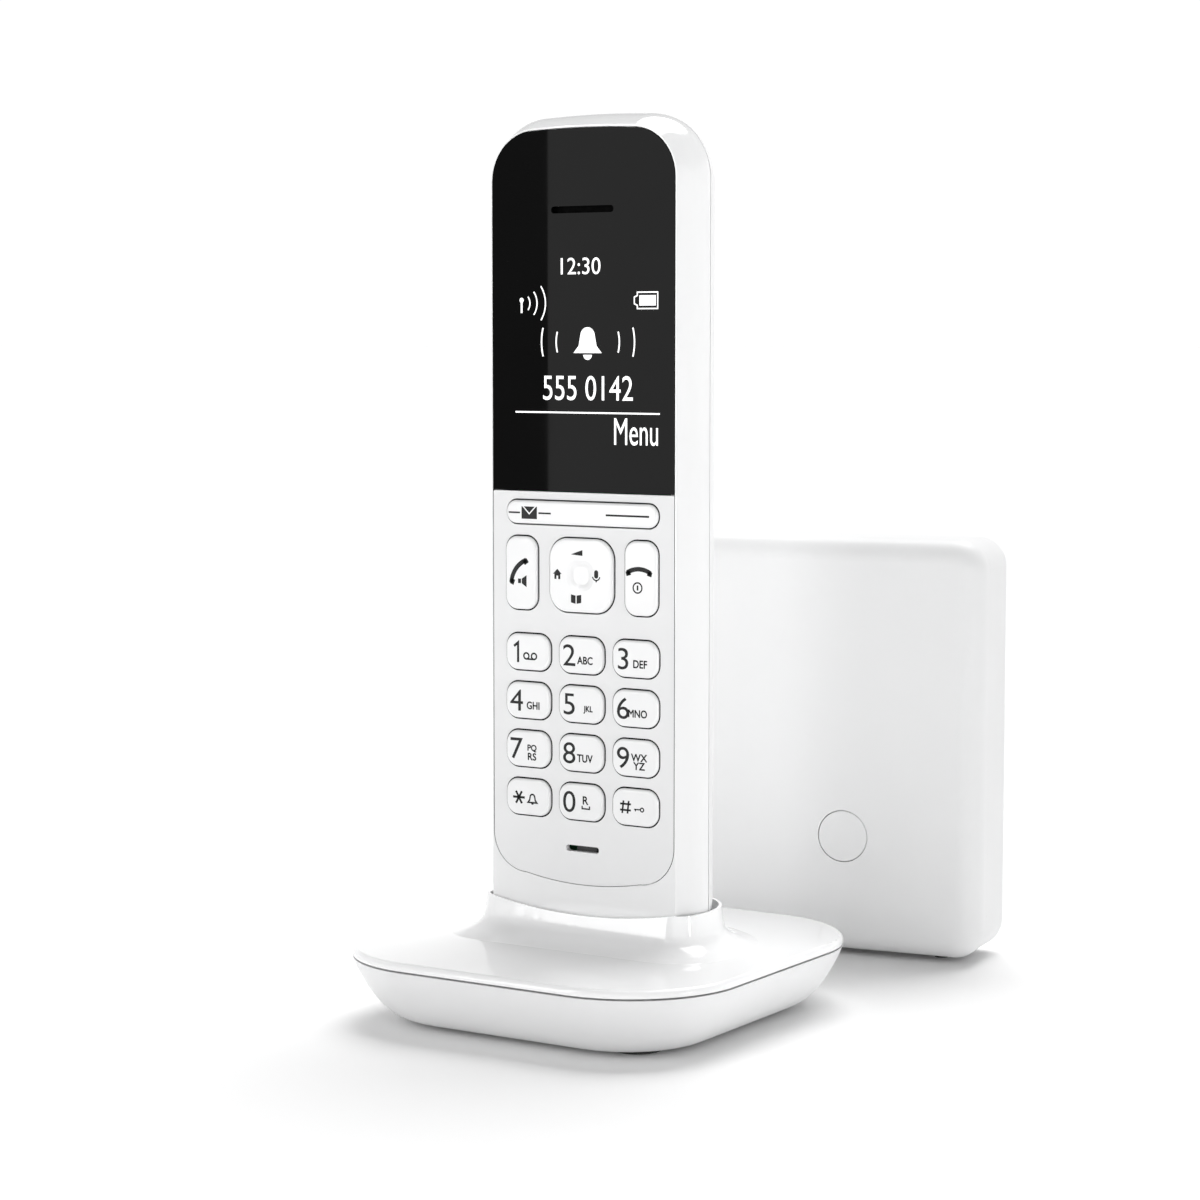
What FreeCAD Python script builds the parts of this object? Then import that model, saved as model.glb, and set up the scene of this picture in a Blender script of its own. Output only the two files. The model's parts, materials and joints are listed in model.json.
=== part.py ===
"""Cordless phone with its charging cradle and its base station, as separate pieces.

The set stands on a table at Z = 0, with +Y to the back and +X to the right as seen from the front.
The origin is on the table, under the middle of the whole set.  Every size is in millimetres.
Each of the three devices is modelled in a frame of its own and then put in its place in the set:
  handset        X = 0 at its middle, Y = 0 on its front face and back is +Y, Z = 0 at its lower end
  cradle         X = 0, Y = 0 at the middle of its footprint, Z = 0 on the table
  base station   X = 0 at its middle, Y = 0 on its front and back is +Y, Z = 0 on the table
"""
import FreeCAD, Part
import math
import os

V = FreeCAD.Vector
UP = V(0, 0, 1)
BACK = V(0, 1, 0)

# ---- the set -------------------------------------------------------------------------------
CRADLE_PLACE = V(-1.93, -27.09, 0)      # the cradle's middle in the set
FACE_BEHIND_CENTRE = -6.3               # the handset's face, from the cradle's middle along Y
HANDSET_BOTTOM = 14.5                   # the docked handset's lower end above the table
BASE_RIGHT_CORNER = V(42.57, 45.91, 0)    # the base station's front right lower corner
BASE_TURN = 8.0                         # degrees, turned towards the right

# ---- handset: outside ------------------------------------------------------------------------
HANDSET_HEIGHT = 156.0
SEAM_DEPTH = 8.0                        # front frame in front of it, rear shell behind it
# depth, half width, lower end, upper end, lower corner radius, upper corner radius
BODY_STATIONS = (
    (0.0, 20.5, 2.1, 153.15, 5.0, 9.8),
    (2.5, 21.8, 1.3, 154.6, 6.0, 11.2),
    (8.0, 22.9, 0.5, 155.6, 7.0, 12.4),
    (11.0, 22.0, 1.1, 155.0, 7.5, 12.2),
    (15.0, 19.4, 3.0, 152.7, 8.2, 11.4),
    (19.0, 15.4, 6.4, 148.6, 8.4, 10.0),
    (22.0, 10.6, 11.0, 143.0, 7.4, 8.4),
    (23.0, 7.6, 14.0, 139.6, 5.8, 6.6),
)
# the same stations for the hollow inside, moved in by about the wall's thickness
HOLLOW_STATIONS = (
    (3.0, 20.0, 3.0, 152.4, 4.5, 9.8),
    (8.0, 21.2, 2.1, 153.9, 5.4, 10.8),
    (10.6, 20.5, 2.7, 153.3, 5.8, 10.6),
    (14.2, 18.1, 4.5, 151.1, 6.4, 10.0),
    (17.8, 14.3, 7.8, 147.2, 6.6, 8.8),
    (20.5, 9.6, 12.4, 141.8, 5.8, 7.4),
    (21.4, 6.8, 15.2, 138.6, 4.6, 5.8),
)
SEAM_GROOVE = 0.3                       # width of the fine line round the seam
# the groove's floor, in the order of the stations
GROOVE_FLOOR = (22.35, 1.05, 155.05, 6.5, 11.9)
CROWN = 0.3                             # how far the upper and lower ends bow outwards

# ---- handset: front --------------------------------------------------------------------------
FACE_HALF_WIDTH = 20.15                 # window and keypad panel
WINDOW_LOW, WINDOW_HIGH = 85.4, 152.65
WINDOW_CORNER = 9.4
PANEL_LOW, PANEL_HIGH = 12.3, 85.2
PANEL_CORNER = 7.5
PANEL_CROWN = 1.3                       # how far the panel's lower end bows down
FACE_GAP = 0.15                         # glue gap around window and panel
PANEL_THICK = 1.2
WINDOW_THICK = 1.2
LEDGE_THICK = 1.6                       # the frame's ledge behind the window and the panel
LEDGE_WIDTH = 1.4
EARPIECE_HEIGHT = 137.9
EARPIECE_SLOT = (13.8, 1.3)
MICROPHONE_HEIGHT = 17.8
MICROPHONE_SLOT = (7.4, 1.2)

# ---- keys ------------------------------------------------------------------------------------
KEY_RISE = 0.7                          # how far the caps stand out of the panel
KEY_GAP = 0.28                          # around each cap in its hole
KEY_EDGE = 0.55                         # rounding of the caps' front edges
FLANGE_WIDER = 0.45
FLANGE = (1.35, 1.95)                   # depth of a push key's flange
ROCKER_FLANGE = (1.9, 2.3)              # a rocker's flange sits deeper, so it can tilt
COLUMN_PITCH = 12.0
DIGIT_ROWS = (54.65, 45.37, 36.09, 26.81)
DIGIT_KEY = (9.95, 6.9, 2.5)            # width, height, corner radius
DIGIT_NAMES = (
    ("key_1", "key_2", "key_3"),
    ("key_4", "key_5", "key_6"),
    ("key_7", "key_8", "key_9"),
    ("key_star", "key_0", "key_hash"),
)
SOFTKEY = (0.0, 81.3, 33.6, 4.4, 2.1)   # middle X, middle Z, width, height, corner radius
SOFTKEY_STEM_X = 12.0
TALK_KEY = (-13.5, 69.7, 7.1, 13.9, 2.5)
END_KEY = (13.2, 69.7, 7.1, 13.9, 2.5)
NAVIGATION_KEY = (0.0, 69.7, 14.2, 13.9, 3.9)
NAVIGATION_DOME_REACH = 5.0
# the dish in the navigation key's middle, from its mouth to its floor: half width, corner radius, depth
DISH = ((2.9, 2.2, 0.0), (2.3, 1.8, 0.1), (1.7, 1.4, 0.3))
PIVOT_RADIUS = 1.2
ROCKER_AXIS_DEPTH = 2.75                # the axes that the rocker keys tilt about
TRUNNION_RADIUS = 0.3

# ---- handset: inside -------------------------------------------------------------------------
MEMBRANE = (3.3, 3.8)                   # depths of front and back
DOME_RADIUS, DOME_THICK = 2.3, 0.25
BOARD = (4.6, 5.6)
BOARD_HALF_WIDTH = 17.4
BATTERY_RADIUS, BATTERY_LENGTH = 5.25, 44.5
BATTERY_DEPTH, BATTERY_LOW = 14.7, 20.0
BAY_FLOOR = (8.3, 9.3)
COVER_HALF_WIDTH, COVER_LOW, COVER_HIGH = 13.4, 15.5, 73.0
COVER_GAP = 0.15
COVER_FROM_DEPTH = 15.0
SPEAKER_HEIGHT, SPEAKER_RADIUS = 112.0, 9.0
BOSS_X, BOSS_Z, BOSS_RADIUS = 9.0, 69.4, 2.3
BOSS_FRONT = 5.9                        # depth where the bosses and their cross rib start
SCREW_RADIUS, SCREW_HEAD_RADIUS = 1.0, 1.9
PAD_X, PAD_SIZE, PAD_DEPTH, PAD_LOW = 9.0, (6.0, 3.4, 1.6), 8.6, 0.3

# ---- cradle ----------------------------------------------------------------------------------
CRADLE_HALF = 40.0
CRADLE_CORNER = 22.0
SEAM_HEIGHT = 12.6
SEAM_GAP = 0.35
PLATE_TOP = 14.2
PLATE_EDGE = 1.0                        # rounding of the top plate's rim
# inset from the seam's outline, height
BOWL_PROFILE = ((0.0, 12.4), (1.0, 9.9), (2.5, 7.0), (4.4, 4.2), (6.5, 2.2), (8.6, 1.1), (10.4, 0.7))
BOWL_WALL = 1.8
POCKET_GAP = 0.2
COLLAR_WALL, COLLAR_FLARE = 0.4, 1.2
COLLAR_TOP = 21.6                       # at the corners and sides
COLLAR_DIP = 1.9                        # how much lower the rim is at the middle of the front
DIP_HALF_CHORD, DIP_BEHIND_FACE = 20.0, 3.0     # how wide and how far back the dip reaches
COLLAR_SWEEP_OUT, COLLAR_SWEEP_UP = 7.4, 3.8    # the sweep from the plate up into the collar
COLLAR_STEPS = 6
POCKET_FRONT_HALF = 19.2                # half of the straight front in the pocket's plan
# the bends that follow it on each side: radius, and the direction in degrees where the bend ends
POCKET_BENDS = ((3.4, -12), (24.0, 0), (13.4, 55))
POCKET_FLOOR = 13.6
CONTACT_Y = 4.0                         # the contacts' middle, under the handset's pads
CONTACT_TOP = 14.45
CONTACT_SIZE = (4.0, 2.4)
CONTACT_SLOT_GAP = 0.4
CRADLE_SCREW_AT = 17.0
FOOT_AT, FOOT_RADIUS, FOOT_THICK = 22.0, 4.6, 1.2
BALLAST = (12.6, -27.0, -10.5, 3.0, 2.8, 8.2)   # half width, front, back, corner radius, bottom, top
CRADLE_SOCKET = (12.0, 11.0, 6.8)       # width, depth, height of the socket's body
CRADLE_SOCKET_MOUTH = (7.6, 9.0, 4.7)
CRADLE_SOCKET_BACK, CRADLE_SOCKET_LOW = 35.0, 4.6

# ---- base station ----------------------------------------------------------------------------
BASE_WIDTH, BASE_HEIGHT, BASE_DEPTH = 74.0, 86.4, 22.0
BASE_LOW = 1.2                          # the box hangs this far above the table on its feet
BASE_CORNER = 6.0
FRONT_DEPTH = 6.6
FRONT_EDGE = 4.6                        # rounding of the front cover's edge
REAR_EDGE = 4.4
BASE_SEAM_GAP = 0.5
BASE_WALL = 2.0
LIP_WALL = 1.2
PAGING_X = BASE_WIDTH / 2 - 29.2        # from the box's middle
PAGING_Z = BASE_LOW + 24.3
PAGING_RADIUS, PAGING_GAP, PAGING_THICK = 5.3, 0.15, 1.8
BASE_BOARD = (58.0, 70.0, 1.4)
BASE_BOARD_DEPTH = 12.0
BASE_FOOT_RADIUS = 1.5
BASE_FOOT_IN = 10.5
BASE_SOCKET_LOW = 7.0
LINE_SOCKET = (-14.0, 13.0, 9.4)        # middle X, width, height of the body
LINE_MOUTH = (9.8, 6.4, 8.0)            # width, height, depth
POWER_SOCKET = (8.0, 11.0, 9.4)
POWER_MOUTH = (7.4, 5.6, 7.6)
SOCKET_BODY_DEPTH = 8.6
KEYHOLE_X, KEYHOLE_Z = 20.0, 66.0


# ---- small helpers ---------------------------------------------------------------------------
def block(x0, x1, y0, y1, z0, z1):
    """A box between two corners."""
    return Part.makeBox(x1 - x0, y1 - y0, z1 - z0, V(x0, y0, z0))


def rod(radius, start, length, direction=UP):
    """A round bar from a point along a direction."""
    return Part.makeCylinder(radius, length, V(*start), direction)


def joined(shapes):
    """One solid from shapes that touch or overlap."""
    whole = shapes[0]
    for shape in shapes[1:]:
        whole = whole.fuse(shape)
    return whole.removeSplitter()


def less(shape, *cutters):
    """A shape with other shapes taken away."""
    for cutter in cutters:
        shape = shape.cut(cutter)
    return shape


def group(shapes):
    """Separate solids that make one node."""
    return Part.makeCompound(list(shapes))


def outline(half_width, low, high, low_radius, high_radius, place, low_crown=0.0, high_crown=0.0):
    """A closed outline with four rounded corners; place(u, v) gives each of its points in space.

    With a crown the lower or upper end bows outwards by that much.
    """
    def corner(cu, cv, radius, start):
        angles = [math.radians(start + step) for step in (0, 45, 90)]
        spots = [place(cu + radius * math.cos(a), cv + radius * math.sin(a)) for a in angles]
        return Part.Arc(*spots)

    left_low, right_low = low_radius - half_width, half_width - low_radius
    left_high, right_high = high_radius - half_width, half_width - high_radius
    corners = [
        corner(right_low, low + low_radius, low_radius, 270),
        corner(right_high, high - high_radius, high_radius, 0),
        corner(left_high, high - high_radius, high_radius, 90),
        corner(left_low, low + low_radius, low_radius, 180),
    ]

    def run(start, end, bow):
        if not bow:
            return Part.LineSegment(start, end)
        return Part.Arc(start, bow, end)

    high_bow = place(0, high + high_crown) if high_crown else None
    low_bow = place(0, low - low_crown) if low_crown else None
    curves = [
        corners[0],
        run(corners[0].EndPoint, corners[1].StartPoint, None),
        corners[1],
        run(corners[1].EndPoint, corners[2].StartPoint, high_bow),
        corners[2],
        run(corners[2].EndPoint, corners[3].StartPoint, None),
        corners[3],
        run(corners[3].EndPoint, corners[0].StartPoint, low_bow),
    ]
    return Part.Wire([curve.toShape() for curve in curves])


def upright(depth):
    """Places an outline in a plane that stands across Y."""
    return lambda u, v: V(u, depth, v)


def level(height):
    """Places an outline in a level plane."""
    return lambda u, v: V(u, v, height)


def plate(half_width, low, high, low_radius, high_radius, front, back, low_crown=0.0, high_crown=0.0):
    """An upright plate with rounded corners, from one depth to another."""
    wire = outline(half_width, low, high, low_radius, high_radius, upright(front), low_crown, high_crown)
    return Part.Face(wire).extrude(V(0, back - front, 0))


def cap(middle_x, middle_z, width, height, radius, front, back):
    """A small upright plate about a middle point."""
    piece = plate(width / 2, middle_z - height / 2, middle_z + height / 2, radius, radius, front, back)
    piece.translate(V(middle_x, 0, 0))
    return piece


def edges_at(shape, axis, value):
    """The edges that lie wholly in one plane across an axis (0, 1 or 2)."""
    found = []
    for edge in shape.Edges:
        box = edge.BoundBox
        low = (box.XMin, box.YMin, box.ZMin)[axis]
        high = (box.XMax, box.YMax, box.ZMax)[axis]
        if abs(low - value) < 1e-3 and abs(high - value) < 1e-3:
            found.append(edge)
    return found


# ---- handset ---------------------------------------------------------------------------------
def stations_loft(stations):
    """A smooth solid through upright outlines."""
    wires = [outline(*sizes, upright(depth), CROWN, CROWN) for depth, *sizes in stations]
    return Part.makeLoft(wires, True, False)


def front_half(shape):
    """The part of a handset shape in front of the seam."""
    return shape.common(block(-30, 30, -5, SEAM_DEPTH, -5, HANDSET_HEIGHT + 5))


def rear_half(shape):
    """The part of a handset shape behind the seam."""
    return shape.common(block(-30, 30, SEAM_DEPTH, 40, -5, HANDSET_HEIGHT + 5))


def screw_bosses(radius, front, back):
    """Two round posts where the handset's screws go."""
    return [rod(radius, (side * BOSS_X, front, BOSS_Z), back - front, BACK) for side in (-1, 1)]


def handset_front_frame(body, hollow):
    """The glossy surround: sides, chin, and a ledge that window and panel are glued to."""
    face_low, face_high = PANEL_LOW - FACE_GAP, WINDOW_HIGH + FACE_GAP
    face = plate(FACE_HALF_WIDTH + FACE_GAP, face_low, face_high, PANEL_CORNER, WINDOW_CORNER,
                 -1, WINDOW_THICK, PANEL_CROWN, CROWN)
    through = plate(FACE_HALF_WIDTH - LEDGE_WIDTH, face_low + LEDGE_WIDTH, face_high - LEDGE_WIDTH,
                    PANEL_CORNER - LEDGE_WIDTH, WINDOW_CORNER - LEDGE_WIDTH, 0, 4, PANEL_CROWN, CROWN)
    frame = less(front_half(body), front_half(hollow), face, through)
    posts = screw_bosses(BOSS_RADIUS, BOSS_FRONT, SEAM_DEPTH)
    rib = block(-30, 30, BOSS_FRONT, SEAM_DEPTH, BOSS_Z - 0.7, BOSS_Z + 0.7).common(body)
    frame = joined([frame, rib] + posts)
    return less(frame, *screw_bosses(SCREW_RADIUS, 5.0, SEAM_DEPTH + 1))


def speaker_holes():
    """Small round holes in the back, in three rows."""
    holes = []
    for row in range(-1, 2):
        for column in range(-2, 3):
            spot = (column * 2.4 + (row % 2) * 1.2, 18, SPEAKER_HEIGHT + row * 2.4)
            holes.append(rod(0.6, spot, 8, BACK))
    return holes


def battery_opening(gap):
    """The space of the battery cover, grown by a gap."""
    return block(-COVER_HALF_WIDTH - gap, COVER_HALF_WIDTH + gap, COVER_FROM_DEPTH, 40,
                 COVER_LOW - gap, COVER_HIGH + gap)


def charge_pad_blocks():
    """The two gold-plated pads in the handset's lower end."""
    width, depth, height = PAD_SIZE
    return [block(side * PAD_X - width / 2, side * PAD_X + width / 2, PAD_DEPTH, PAD_DEPTH + depth,
                  PAD_LOW, PAD_LOW + height) for side in (-1, 1)]


def seam_groove():
    """The fine step all round the rear shell where it meets the front frame."""
    back = SEAM_DEPTH + SEAM_GROOVE
    slab = block(-30, 30, SEAM_DEPTH, back, -5, HANDSET_HEIGHT + 5)
    return less(slab, plate(*GROOVE_FLOOR, SEAM_DEPTH - 1, back + 1, CROWN, CROWN))


def handset_rear_shell(body, hollow):
    """The satin back with the battery bay's floor and the seats of the screws."""
    shell = less(rear_half(body), rear_half(hollow), battery_opening(COVER_GAP))
    floor = hollow.common(block(-30, 30, BAY_FLOOR[0], BAY_FLOOR[1], COVER_LOW - 3, COVER_HIGH + 3))
    ends = hollow.common(group([
        block(-30, 30, BAY_FLOOR[1], 17.6, COVER_LOW - 1.2, COVER_LOW + 0.2),
        block(-30, 30, BAY_FLOOR[1], 17.6, COVER_HIGH - 0.2, COVER_HIGH + 1.2),
    ]))
    shell = joined([shell, floor] + ends.Solids)
    return less(shell, seam_groove(), *screw_bosses(SCREW_RADIUS + 0.2, 7, 14), *speaker_holes(),
                *charge_pad_blocks())


def battery_cover(body, hollow):
    """The door over the batteries, a piece of the rear shell's wall."""
    wall = less(rear_half(body), rear_half(hollow))
    return wall.common(battery_opening(0.0))


def display_window():
    """The glossy black front glass with the earpiece slot."""
    glass = plate(FACE_HALF_WIDTH, WINDOW_LOW, WINDOW_HIGH, 0.3, WINDOW_CORNER - FACE_GAP, 0, WINDOW_THICK,
                  0, CROWN)
    slot = cap(0, EARPIECE_HEIGHT, *EARPIECE_SLOT, 0.6, -1, 4)
    return less(glass, slot)


def all_keys():
    """Name, outline (middle X, middle Z, width, height, corner radius) and kind of every key."""
    keys = []
    for row, names in zip(DIGIT_ROWS, DIGIT_NAMES):
        for column, name in enumerate(names):
            keys.append((name, ((column - 1) * COLUMN_PITCH, row, *DIGIT_KEY), "push"))
    keys.append(("talk_key", TALK_KEY, "push"))
    keys.append(("end_key", END_KEY, "push"))
    keys.append(("softkey_bar", SOFTKEY, "rocker"))
    keys.append(("navigation_key", NAVIGATION_KEY, "rocker"))
    return keys


def grown(key, amount):
    """A key's outline, larger all round."""
    x, z, width, height, radius = key
    return x, z, width + 2 * amount, height + 2 * amount, radius + amount


def keypad_panel():
    """The satin panel with a hole for every key and for the microphone."""
    panel = plate(FACE_HALF_WIDTH, PANEL_LOW, PANEL_HIGH, PANEL_CORNER - FACE_GAP, 0.3, 0, PANEL_THICK,
                  PANEL_CROWN, 0)
    holes = [cap(*grown(key, KEY_GAP), -1, 4) for _, key, _ in all_keys()]
    slot = cap(0, MICROPHONE_HEIGHT, *MICROPHONE_SLOT, 0.55, -1, 4)
    return less(panel, slot, *holes)


def fulcrum(x, low, length, flange_back):
    """A round ridge along Z behind a rocker's flange, on the axis that it tilts about."""
    web = block(x - TRUNNION_RADIUS, x + TRUNNION_RADIUS, flange_back, ROCKER_AXIS_DEPTH, low, low + length)
    return web.fuse(rod(TRUNNION_RADIUS, (x, ROCKER_AXIS_DEPTH, low), length))


def key_solid(name, key, kind):
    """A moulded key cap with a flange that keeps it behind the panel."""
    flange_front, flange_back = FLANGE if kind == "push" else ROCKER_FLANGE
    top = cap(*key, -KEY_RISE, flange_back)
    top = top.makeFillet(KEY_EDGE, edges_at(top, 1, -KEY_RISE))
    flange = cap(*grown(key, FLANGE_WIDER), flange_front, flange_back)
    if name == "softkey_bar":
        stems = [rod(1.2, (side * SOFTKEY_STEM_X, flange_back, key[1]), 0.2, BACK) for side in (-1, 1)]
        return joined([top, flange, fulcrum(key[0], key[1] - 2.0, 4.0, flange_back)] + stems)
    if name == "navigation_key":
        rims = [outline(half, key[1] - half, key[1] + half, corner, corner, upright(depth - KEY_RISE))
                for half, corner, depth in DISH]
        dish = Part.makeLoft(rims, True, True)
        socket = rod(PIVOT_RADIUS + 0.35, (key[0], flange_back - 0.8, key[1]), 3, BACK)
        ridges = [fulcrum(key[0], key[1] + start, 1.0, flange_back) for start in (-2.8, 1.8)]
        return less(joined([top, flange] + ridges), dish, socket)
    stem = rod(1.4, (key[0], flange_back, key[1]), 0.45, BACK)
    return joined([top, flange, stem])


def navigation_plunger():
    """The pivot post behind the navigation key, with a round trunnion to each side."""
    x, z = NAVIGATION_KEY[:2]
    front = ROCKER_FLANGE[1] - 0.5
    post = rod(PIVOT_RADIUS, (x, front, z), ROCKER_AXIS_DEPTH + TRUNNION_RADIUS - front, BACK)
    trunnions = rod(TRUNNION_RADIUS, (x - 2.8, ROCKER_AXIS_DEPTH, z), 5.6, V(1, 0, 0))
    return joined([post, trunnions])


def dome_spots():
    """Where a metal snap dome lies under each key."""
    spots = [(key[0], key[1]) for _, key, kind in all_keys() if kind == "push"]
    spots += [(side * SOFTKEY_STEM_X, SOFTKEY[1]) for side in (-1, 1)]
    x, z = NAVIGATION_KEY[:2]
    reach = NAVIGATION_DOME_REACH
    spots += [(x - reach, z), (x + reach, z), (x, z - reach), (x, z + reach)]
    return spots


def keypad_membrane():
    """The silicone sheet between the keys and the snap domes."""
    sheet = plate(BOARD_HALF_WIDTH, PANEL_LOW + 11, PANEL_HIGH - 0.6, 3, 1, *MEMBRANE)
    nubs = [rod(0.9, (x, MEMBRANE[1], z), 0.4, BACK) for x, z in dome_spots()]
    return joined([sheet] + nubs)


def key_domes():
    """Metal snap domes on the circuit board."""
    front = BOARD[0] - DOME_THICK
    return group(rod(DOME_RADIUS, (x, front, z), DOME_THICK, BACK) for x, z in dome_spots())


def handset_circuit_board():
    """The handset's board."""
    return plate(BOARD_HALF_WIDTH, 9.0, 148.0, 3, 9, *BOARD)


def handset_shield_cans():
    """Two tinned cans over the radio and the processor."""
    back = BOARD[1]
    return group([
        block(-12, 6, back, back + 2.0, 94, 112),
        block(-8, 10, back, back + 2.0, 124, 138),
    ])


def display_module():
    """The liquid crystal display in its metal tray."""
    return cap(0, 108.3, 36.0, 41.0, 1.0, 1.75, 4.2)


def earpiece_capsule():
    """The round receiver behind the earpiece slot."""
    return joined([
        rod(5.6, (0, 1.9, EARPIECE_HEIGHT), 2.2, BACK),
        rod(4.0, (0, 1.65, EARPIECE_HEIGHT), 0.3, BACK),
    ])


def earpiece_gauze():
    """The fine mesh in the earpiece slot."""
    width, height = EARPIECE_SLOT
    return cap(0, EARPIECE_HEIGHT, width + 1.6, height + 1.4, 0.8, WINDOW_THICK, WINDOW_THICK + 0.25)


def microphone_capsule():
    """The small microphone behind its slot."""
    return rod(2.2, (0, PANEL_THICK + 0.4, MICROPHONE_HEIGHT), 1.8, BACK)


def battery_spots():
    """The X of the two cells' axes."""
    half = BATTERY_RADIUS + 0.25
    return -half, half


def battery_cells():
    """Two rechargeable AAA cells, head to tail."""
    cells = []
    for turn, x in enumerate(battery_spots()):
        can = rod(BATTERY_RADIUS, (x, BATTERY_DEPTH, BATTERY_LOW + 0.8), BATTERY_LENGTH - 0.8)
        tip_low = BATTERY_LOW if turn == 0 else BATTERY_LOW + BATTERY_LENGTH
        cells.append(joined([can, rod(1.9, (x, BATTERY_DEPTH, tip_low), 0.8)]))
    return group(cells)


def battery_contacts():
    """Plated strips at both ends of the cells."""
    low, high = BATTERY_LOW, BATTERY_LOW + BATTERY_LENGTH + 0.8
    strips = [block(x - 3.4, x + 3.4, BATTERY_DEPTH - 4, BATTERY_DEPTH + 2.6, z, z + 0.4)
              for x in battery_spots() for z in (low - 0.4, high)]
    return group(strips)


def hands_free_speaker():
    """The loudspeaker behind the holes in the back."""
    return joined([
        rod(SPEAKER_RADIUS, (0, 15.6, SPEAKER_HEIGHT), 2.2, BACK),
        rod(SPEAKER_RADIUS - 2.4, (0, 12.4, SPEAKER_HEIGHT), 3.3, BACK),
    ])


def handset_screws():
    """Two screws that hold the rear shell to the front frame's bosses."""
    seat = BAY_FLOOR[1]
    screws = []
    for side in (-1, 1):
        x = side * BOSS_X
        screw = joined([
            rod(SCREW_RADIUS, (x, BOSS_FRONT + 0.2, BOSS_Z), seat - BOSS_FRONT - 0.2, BACK),
            rod(SCREW_HEAD_RADIUS, (x, seat, BOSS_Z), 1.3, BACK),
        ])
        slot = block(x - 1.2, x + 1.2, seat + 0.8, seat + 2, BOSS_Z - 0.25, BOSS_Z + 0.25)
        cross = block(x - 0.25, x + 0.25, seat + 0.8, seat + 2, BOSS_Z - 1.2, BOSS_Z + 1.2)
        screws.append(less(screw, slot, cross))
    return group(screws)


def handset_nodes():
    """Every handset node, in the handset's own frame."""
    body = stations_loft(BODY_STATIONS)
    hollow = stations_loft(HOLLOW_STATIONS)
    nodes = {
        "handset_front_frame": handset_front_frame(body, hollow),
        "handset_rear_shell": handset_rear_shell(body, hollow),
        "battery_cover": battery_cover(body, hollow),
        "display_window": display_window(),
        "keypad_panel": keypad_panel(),
        "navigation_plunger": navigation_plunger(),
        "keypad_membrane": keypad_membrane(),
        "key_domes": key_domes(),
        "handset_circuit_board": handset_circuit_board(),
        "handset_shield_cans": handset_shield_cans(),
        "display_module": display_module(),
        "earpiece_capsule": earpiece_capsule(),
        "earpiece_gauze": earpiece_gauze(),
        "microphone_capsule": microphone_capsule(),
        "battery_cells": battery_cells(),
        "battery_contacts": battery_contacts(),
        "hands_free_speaker": hands_free_speaker(),
        "handset_screws": handset_screws(),
        "handset_charge_pads": group(charge_pad_blocks()),
    }
    for name, key, kind in all_keys():
        nodes[name] = key_solid(name, key, kind)
    return nodes


# ---- cradle ----------------------------------------------------------------------------------
def cradle_outline(inset, height):
    """The cradle's rounded square, moved in by an inset."""
    half = CRADLE_HALF - inset
    radius = CRADLE_CORNER - inset * 0.8
    return outline(half, -half, half, radius, radius, level(height))


def bowl(extra_inset, raise_by):
    """The lower shell's outer form, or its hollow when moved in and up."""
    wires = [cradle_outline(inset + extra_inset, height + raise_by) for inset, height in BOWL_PROFILE]
    return Part.makeLoft(wires, True, False)


def pocket_bends():
    """Centre X, centre depth, radius, first and last direction of each bend, from front to rear.

    Each bend starts where the one before it ends, in the same direction, and the last goes round the rear.
    """
    x, y, radius, start = POCKET_FRONT_HALF, POCKET_BENDS[0][0], POCKET_BENDS[0][0], -90
    bends = []
    for next_radius, end in POCKET_BENDS:
        turn = math.radians(start)
        x += (radius - next_radius) * math.cos(turn)
        y += (radius - next_radius) * math.sin(turn)
        radius = next_radius
        bends.append((x, y, radius, start, end))
        start = end
    turn = math.radians(start)
    rear_radius = radius + x / math.cos(turn)
    y += (radius - rear_radius) * math.sin(turn)
    bends.append((0.0, y, rear_radius, start, 180 - start))
    return bends


def collar_section(grow, height):
    """The handset's outline as seen from above, grown by an amount, in the cradle's frame."""
    def spot(side, x, y):
        return V(side * x, FACE_BEHIND_CENTRE + y, height)

    def bend(side, sizes):
        centre_x, centre_y, radius, start, end = sizes
        spots = []
        for angle in (start, (start + end) / 2, end):
            turn = math.radians(angle)
            spots.append(spot(side, centre_x + (radius + grow) * math.cos(turn),
                              centre_y + (radius + grow) * math.sin(turn)))
        return spots

    *sides, rear = pocket_bends()
    front = [spot(-1, POCKET_FRONT_HALF, -grow), spot(1, POCKET_FRONT_HALF, -grow)]
    curves = [Part.LineSegment(*front)]
    curves += [Part.Arc(*bend(1, sizes)) for sizes in sides]
    curves.append(Part.Arc(*bend(1, rear)))
    curves += [Part.Arc(*reversed(bend(-1, sizes))) for sizes in reversed(sides)]
    return Part.Wire([curve.toShape() for curve in curves])


def rim_cutter():
    """Everything above the collar's rim, which dips at the middle of the front."""
    half = CRADLE_HALF
    radius = (DIP_HALF_CHORD ** 2 + COLLAR_DIP ** 2) / (2 * COLLAR_DIP)
    above = block(-half, half, -half, half, COLLAR_TOP, COLLAR_TOP + 20)
    low = COLLAR_TOP - COLLAR_DIP
    dip = rod(radius, (0, -half, low + radius), half + FACE_BEHIND_CENTRE + DIP_BEHIND_FACE, BACK)
    return above.fuse(dip.common(block(-half, half, -half, half, low - 1, COLLAR_TOP + 5)))


def contact_slots(gap):
    """The two slots that the charging contacts come up through."""
    width, depth = CONTACT_SIZE
    return [block(side * PAD_X - width / 2 - gap, side * PAD_X + width / 2 + gap,
                  CONTACT_Y - depth / 2 - gap, CONTACT_Y + depth / 2 + gap, 5, 20)
            for side in (-1, 1)]


def corner_spots(reach):
    """The four places near the cradle's corners."""
    return [(sx * reach, sy * reach) for sx in (-1, 1) for sy in (-1, 1)]


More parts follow.
